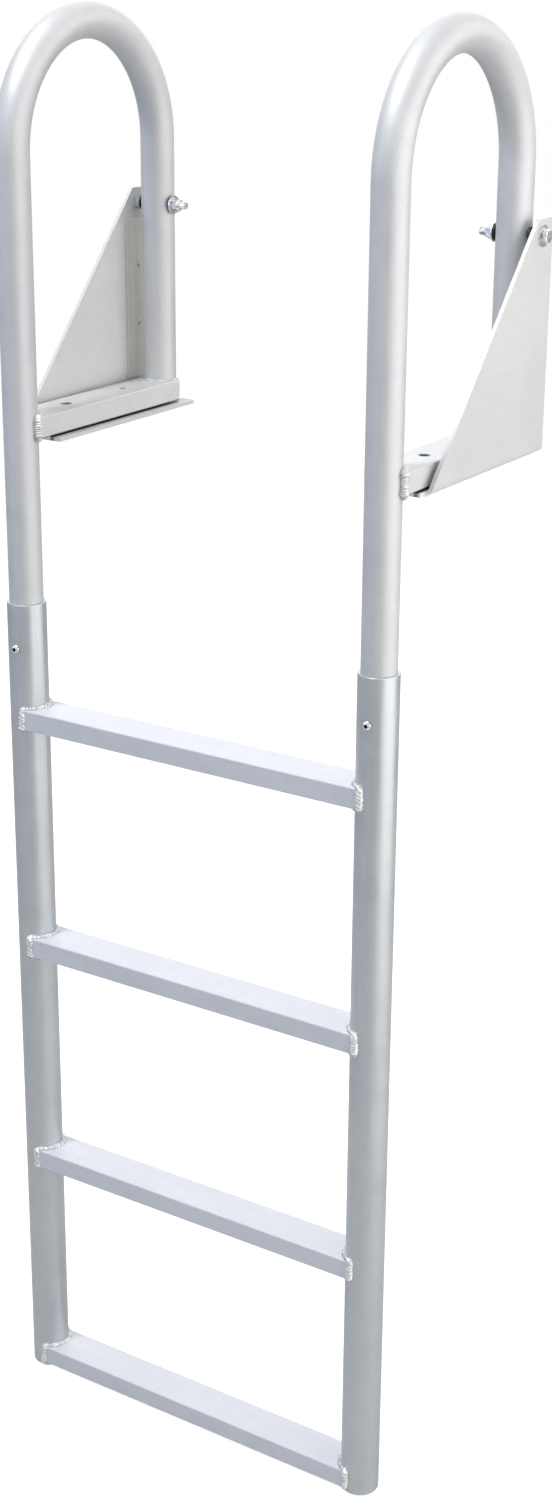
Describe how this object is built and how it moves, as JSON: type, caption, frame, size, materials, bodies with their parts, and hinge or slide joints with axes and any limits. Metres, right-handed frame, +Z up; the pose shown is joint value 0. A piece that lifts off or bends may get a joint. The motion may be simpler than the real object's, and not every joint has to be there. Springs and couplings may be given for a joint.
{
  "type": "dock ladder",
  "caption": "Flip-up dock ladder with hooped handrails, tube treads and side brackets that bolt to the deck edge.",
  "frame": {"origin": "on the underside of the left bracket, midway between its two deck holes and straight below the left handrail", "axes": "+X along the treads from the left handrail to the right one, +Y from the water to the dock, +Z up the stiles"},
  "size_m": [0.5793, 0.3319, 1.7581],
  "materials": {
    "tube": "satin drawn aluminium",
    "sheet": "satin rolled aluminium",
    "strip": "dull",
    "weld": "weld bead",
    "stainless": "stainless",
    "black_pad": "matte"
  },
  "bodies": {
    "brackets": {"left_bracket": "sheet", "right_bracket": "sheet", "left_guide_strip": "strip", "right_guide_strip": "strip", "left_hinge_bolt": "stainless", "right_hinge_bolt": "stainless", "left_outer_washer": "stainless", "right_outer_washer": "stainless", "left_outer_pad": "black_pad", "right_outer_pad": "black_pad", "left_inner_pad": "black_pad", "right_inner_pad": "black_pad", "left_inner_washer": "stainless", "right_inner_washer": "stainless", "left_clamp_nut": "stainless", "right_clamp_nut": "stainless", "left_lock_nut": "stainless", "right_lock_nut": "stainless"},
    "ladder": {"left_handrail": "tube", "right_handrail": "tube", "left_stile": "tube", "right_stile": "tube", "tread_1": "tube", "tread_2": "tube", "tread_3": "tube", "tread_4": "tube", "left_tread_welds": "weld", "right_tread_welds": "weld", "left_arm": "tube", "right_arm": "tube", "left_arm_welds": "weld", "right_arm_welds": "weld", "left_splice_bolt": "stainless", "right_splice_bolt": "stainless", "left_splice_nut": "stainless", "right_splice_nut": "stainless"}
  },
  "joints": [
    {"name": "swing_up", "type": "hinge", "parent": "brackets", "child": "ladder", "pos_m": [0, 0.1125, 0.249], "axis": [-1, 0, 0], "range_deg": [0, 180]}
  ]
}
